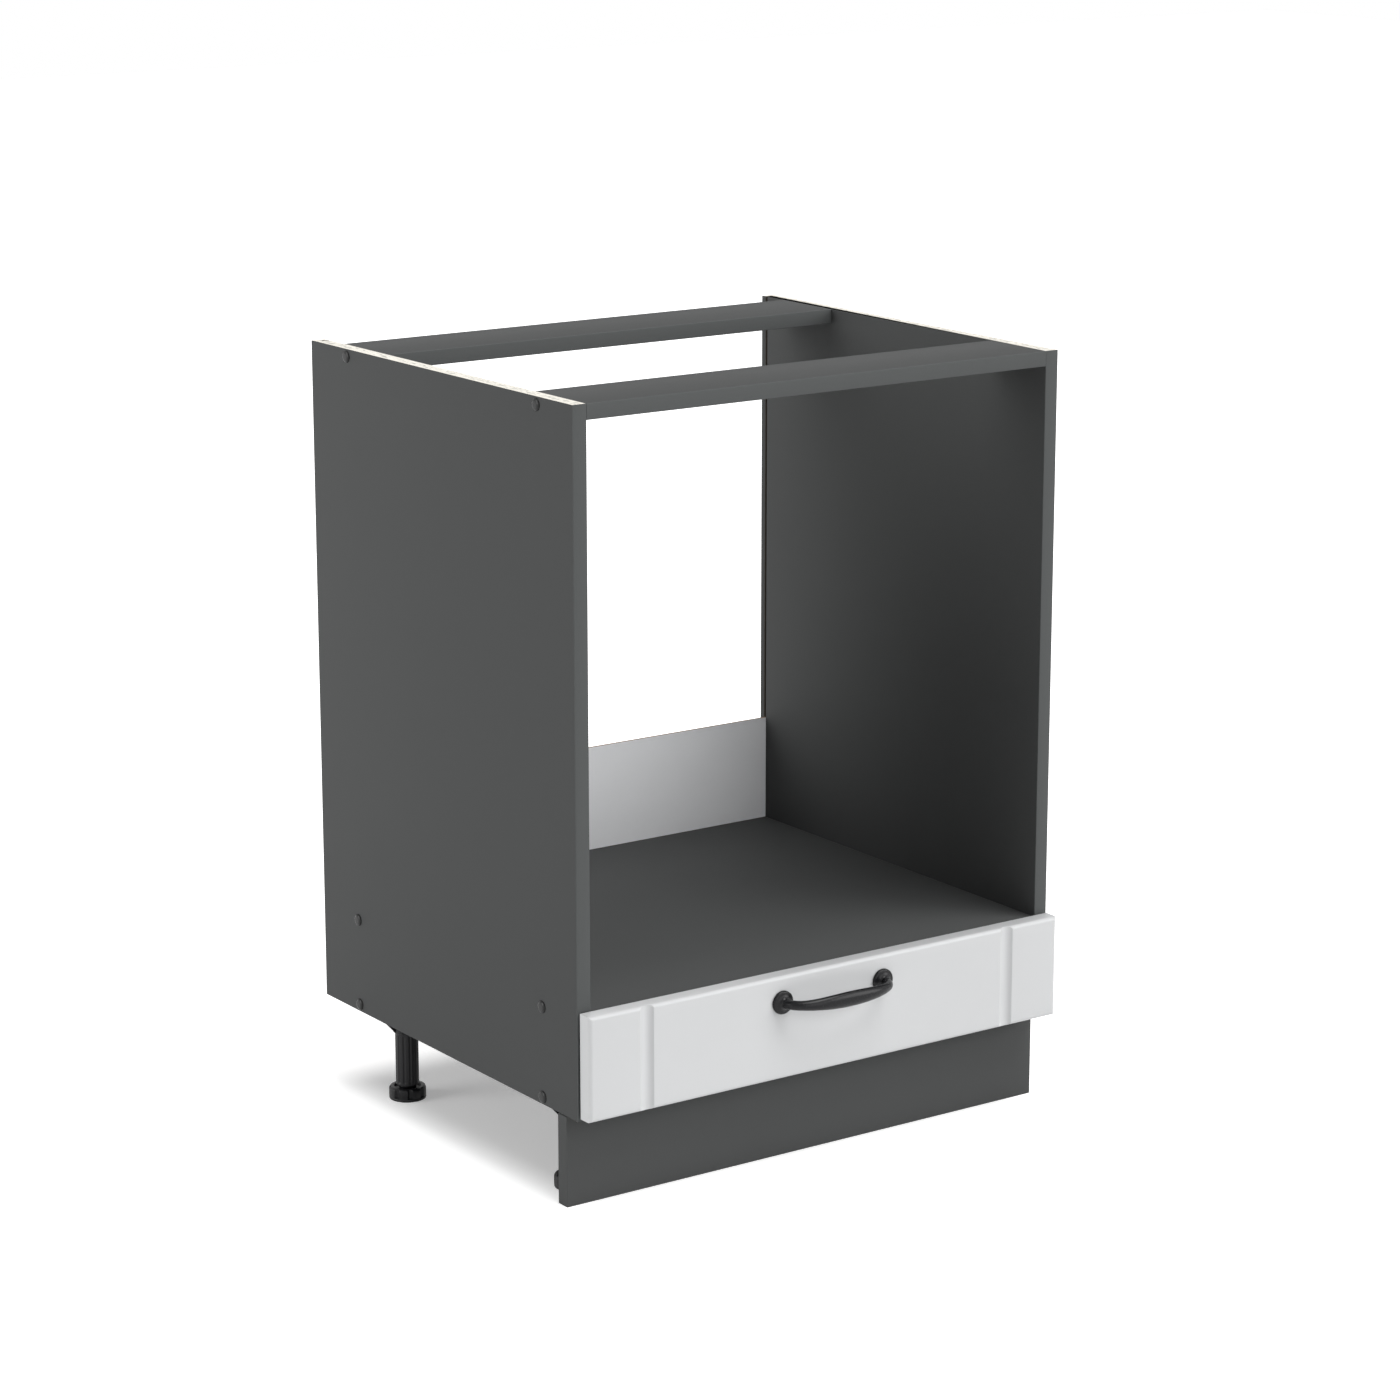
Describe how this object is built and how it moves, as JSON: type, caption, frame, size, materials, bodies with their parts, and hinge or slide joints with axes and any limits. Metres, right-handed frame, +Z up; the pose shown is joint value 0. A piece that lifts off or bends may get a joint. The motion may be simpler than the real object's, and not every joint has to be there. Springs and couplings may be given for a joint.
{
  "type": "oven housing cabinet",
  "caption": "Open-fronted kitchen base cabinet that houses a built-in oven above a low drawer, on levelling legs behind a plinth board.",
  "frame": {"origin": "on the floor, under the middle of the whole object's box, handle included", "axes": "+Z up, -Y out of the front where the drawer opens, +X to the right seen from the front"},
  "size_m": [0.6044, 0.5554, 0.817],
  "materials": {
    "grey_board": "matt dark grey melamine facing on chipboard",
    "grey_edge_band": "matt dark grey edge band",
    "light_grey_hardboard": "light grey lacquered hardboard",
    "light_grey_board": "light grey melamine facing on chipboard",
    "white_front": "matt warm white foil on fibreboard",
    "grey_cap": "matt dark grey plastic",
    "beech": "plain beech",
    "zinc_steel": "bright zinc plating",
    "black_plastic": "fine-grained black plastic",
    "painted_steel": "light grey powder coat",
    "white_nylon": "plain nylon",
    "dark_cast_metal": "fine cast texture, near-black satin coat",
    "clear_bumper": "clear soft plastic"
  },
  "bodies": {
    "cabinet": {"bottom_panel": "grey_board", "oven_shelf": "grey_board", "front_top_rail": "grey_board", "rear_top_rail": "grey_board", "side_panel_left": "grey_board", "side_panel_right": "grey_board", "plinth_panel": "grey_board", "edge_bands": "grey_edge_band", "back_strip": "light_grey_hardboard", "screw_cover_caps": "grey_cap", "wooden_dowels": "beech", "carcass_screws": "zinc_steel", "strip_screws": "zinc_steel", "leg_screws": "zinc_steel", "plinth_clip_screws": "zinc_steel", "runner_screws": "zinc_steel", "cabinet_roller_pins": "zinc_steel", "leg_socket_front_left": "black_plastic", "leg_socket_front_right": "black_plastic", "leg_socket_rear_left": "black_plastic", "leg_socket_rear_right": "black_plastic", "leg_tube_front_left": "black_plastic", "leg_tube_front_right": "black_plastic", "leg_tube_rear_left": "black_plastic", "leg_tube_rear_right": "black_plastic", "plinth_clip_left": "black_plastic", "plinth_clip_right": "black_plastic", "cabinet_runner_left": "painted_steel", "cabinet_runner_right": "painted_steel"},
    "drawer": {"drawer_front": "white_front", "drawer_base": "light_grey_board", "drawer_back": "light_grey_board", "handle": "dark_cast_metal", "handle_screws": "zinc_steel", "front_bumpers": "clear_bumper", "bracket_screws": "zinc_steel", "drawer_box_screws": "zinc_steel", "drawer_roller_pins": "zinc_steel", "drawer_wall_left": "painted_steel", "drawer_wall_right": "painted_steel", "drawer_runner_left": "painted_steel", "drawer_runner_right": "painted_steel", "front_bracket_left": "zinc_steel", "front_bracket_right": "zinc_steel"},
    "cabinet_roller_left": {"cabinet_roller_left": "white_nylon"},
    "cabinet_roller_right": {"cabinet_roller_right": "white_nylon"},
    "drawer_roller_left": {"drawer_roller_left": "white_nylon"},
    "drawer_roller_right": {"drawer_roller_right": "white_nylon"},
    "foot_front_left": {"foot_front_left": "black_plastic"},
    "foot_front_right": {"foot_front_right": "black_plastic"},
    "foot_rear_left": {"foot_rear_left": "black_plastic"},
    "foot_rear_right": {"foot_rear_right": "black_plastic"}
  },
  "joints": [
    {"name": "drawer_slide", "type": "slide", "parent": "cabinet", "child": "drawer", "axis": [0, -1, 0], "range_m": [0, 0.35]},
    {"name": "cabinet_roller_left_spin", "type": "hinge", "parent": "cabinet", "child": "cabinet_roller_left", "pos_m": [-0.2775, -0.20825, 0.133], "axis": [1, 0, 0], "continuous": true},
    {"name": "drawer_roller_left_spin", "type": "hinge", "parent": "drawer", "child": "drawer_roller_left", "pos_m": [-0.2775, 0.21375, 0.131], "axis": [1, 0, 0], "continuous": true},
    {"name": "cabinet_roller_right_spin", "type": "hinge", "parent": "cabinet", "child": "cabinet_roller_right", "pos_m": [0.2775, -0.20825, 0.133], "axis": [1, 0, 0], "continuous": true},
    {"name": "drawer_roller_right_spin", "type": "hinge", "parent": "drawer", "child": "drawer_roller_right", "pos_m": [0.2775, 0.21375, 0.131], "axis": [1, 0, 0], "continuous": true},
    {"name": "foot_front_left_screw", "type": "slide", "parent": "cabinet", "child": "foot_front_left", "axis": [0, 0, -1], "range_m": [-0.0015, 0.02]},
    {"name": "foot_front_right_screw", "type": "slide", "parent": "cabinet", "child": "foot_front_right", "axis": [0, 0, -1], "range_m": [-0.0015, 0.02]},
    {"name": "foot_rear_left_screw", "type": "slide", "parent": "cabinet", "child": "foot_rear_left", "axis": [0, 0, -1], "range_m": [-0.0015, 0.02]},
    {"name": "foot_rear_right_screw", "type": "slide", "parent": "cabinet", "child": "foot_rear_right", "axis": [0, 0, -1], "range_m": [-0.0015, 0.02]}
  ],
  "couplings": [
    {"joint": "cabinet_roller_left_spin", "follows": "drawer_slide", "rad_per_m": 117.65},
    {"joint": "drawer_roller_left_spin", "follows": "drawer_slide", "rad_per_m": 117.65},
    {"joint": "cabinet_roller_right_spin", "follows": "drawer_slide", "rad_per_m": 117.65},
    {"joint": "drawer_roller_right_spin", "follows": "drawer_slide", "rad_per_m": 117.65}
  ]
}
